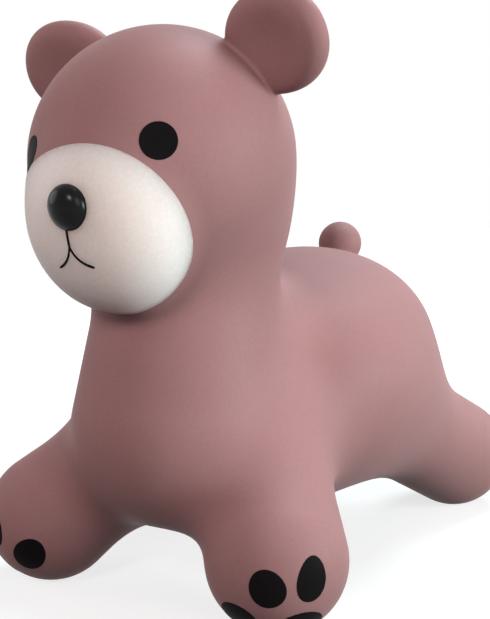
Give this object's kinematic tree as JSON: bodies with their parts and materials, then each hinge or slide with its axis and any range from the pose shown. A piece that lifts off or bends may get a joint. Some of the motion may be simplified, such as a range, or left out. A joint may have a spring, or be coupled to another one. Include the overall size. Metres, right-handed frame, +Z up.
{
  "type": "inflatable bear hopper",
  "caption": "Blown-up soft PVC bear on splayed legs for a small child to straddle and bounce on, with round ears as handgrips and a belly valve.",
  "frame": {"origin": "on the floor under the middle of the whole toy", "axes": "the bear looks along -Y, its left side is +X, +Z is up"},
  "size_m": [0.3362, 0.5752, 0.4822],
  "materials": {
    "skin": "satin rosy-brown soft PVC",
    "muzzle_paint": "satin cream vinyl paint",
    "black_paint": "matt black vinyl paint",
    "nose_paint": "gloss black vinyl paint",
    "plug": "smooth white polyethylene"
  },
  "bodies": {
    "legs": {"left_front_leg": "skin", "right_front_leg": "skin", "left_hind_leg": "skin", "right_hind_leg": "skin", "left_outer_toe_pad": "black_paint", "left_middle_toe_pad": "black_paint", "left_inner_toe_pad": "black_paint", "left_main_pad": "black_paint", "right_outer_toe_pad": "black_paint", "right_middle_toe_pad": "black_paint", "right_inner_toe_pad": "black_paint", "right_main_pad": "black_paint"},
    "upper": {"torso": "skin", "chest_and_neck": "skin", "head": "skin", "muzzle": "muzzle_paint", "tail": "skin", "left_eye": "black_paint", "right_eye": "black_paint", "nose": "nose_paint", "mouth": "black_paint"},
    "left_ear": {"left_ear": "skin"},
    "right_ear": {"right_ear": "skin"},
    "plug": {"air_plug": "plug"}
  },
  "joints": [
    {"name": "bounce", "type": "slide", "parent": "legs", "child": "upper", "axis": [0, 0, 1], "range_m": [-0.028, 0], "stiffness_N_per_m": 5000, "springref_m": 0.005, "deforming": ["left_front_leg", "right_front_leg", "left_hind_leg", "right_hind_leg"]},
    {"name": "left_ear_flex", "type": "hinge", "parent": "upper", "child": "left_ear", "pos_m": [0.0818, -0.1554, 0.4279], "axis": [0.6275, 0, -0.7786], "range_deg": [-18, 18], "stiffness_Nm_per_rad": 2, "deforming": ["left_ear"]},
    {"name": "right_ear_flex", "type": "hinge", "parent": "upper", "child": "right_ear", "pos_m": [-0.0818, -0.1554, 0.4279], "axis": [0.6275, 0, 0.7786], "range_deg": [-18, 18], "stiffness_Nm_per_rad": 2, "deforming": ["right_ear"]},
    {"name": "plug_pull", "type": "slide", "parent": "upper", "child": "plug", "axis": [0, 0, -1], "range_m": [0, 0.015]}
  ]
}
